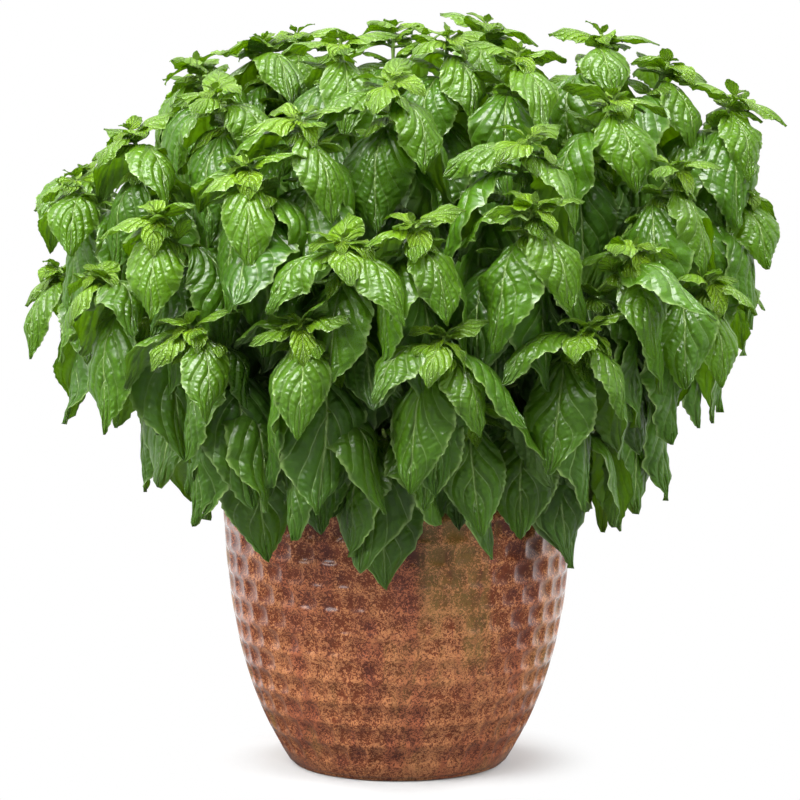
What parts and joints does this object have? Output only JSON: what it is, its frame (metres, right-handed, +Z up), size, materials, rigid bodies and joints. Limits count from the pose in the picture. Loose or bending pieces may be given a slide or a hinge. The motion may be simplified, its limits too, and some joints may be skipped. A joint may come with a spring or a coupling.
{
  "type": "potted basil plant",
  "caption": "Bushy basil plant of drooping glossy leaves on square stems, rooted in soil in an egg-shaped glazed stoneware pot with a dimpled wall.",
  "frame": {"origin": "middle of the pot's foot, on the surface it stands on", "axes": "+Z up along the pot's axis, -Y towards the viewer of the picture, +X to the viewer's right"},
  "size_m": [0.5405, 0.5099, 0.5357],
  "materials": {
    "glaze": "glossy speckled brown glaze on stoneware",
    "soil": "moist crumbly potting soil",
    "leaf": "satin fresh green leaf"
  },
  "bodies": {
    "root": {"pot": "glaze", "potting_soil": "soil", "leafy_stem_01": "leaf", "leafy_stem_02": "leaf", "leafy_stem_03": "leaf", "leafy_stem_04": "leaf", "leafy_stem_05": "leaf", "leafy_stem_06": "leaf", "leafy_stem_07": "leaf", "leafy_stem_08": "leaf", "leafy_stem_09": "leaf", "leafy_stem_10": "leaf", "leafy_stem_11": "leaf", "leafy_stem_12": "leaf", "leafy_stem_13": "leaf", "leafy_stem_14": "leaf", "leafy_stem_15": "leaf", "leafy_stem_16": "leaf", "leafy_stem_17": "leaf", "leafy_stem_18": "leaf", "leafy_stem_19": "leaf", "leafy_stem_20": "leaf", "leafy_stem_21": "leaf", "leafy_stem_22": "leaf", "leafy_stem_23": "leaf", "leafy_stem_24": "leaf", "leafy_stem_25": "leaf", "leafy_stem_26": "leaf", "leafy_stem_27": "leaf", "leafy_stem_28": "leaf", "leafy_stem_29": "leaf", "leafy_stem_30": "leaf", "leafy_stem_31": "leaf", "leafy_stem_32": "leaf", "leafy_stem_33": "leaf", "leafy_stem_34": "leaf", "leafy_stem_35": "leaf", "leafy_stem_36": "leaf", "leafy_stem_37": "leaf", "leafy_stem_38": "leaf", "leafy_stem_39": "leaf", "leafy_stem_40": "leaf", "leafy_stem_41": "leaf", "leafy_stem_42": "leaf", "leafy_stem_43": "leaf", "leafy_stem_44": "leaf", "leafy_stem_45": "leaf", "leafy_stem_46": "leaf", "leafy_stem_47": "leaf", "leafy_stem_48": "leaf", "leafy_stem_49": "leaf", "leafy_stem_50": "leaf", "leafy_stem_51": "leaf", "leafy_stem_52": "leaf", "leafy_stem_53": "leaf", "leafy_stem_54": "leaf", "leafy_stem_55": "leaf", "leafy_stem_56": "leaf", "leafy_stem_57": "leaf"}
  },
  "joints": []
}
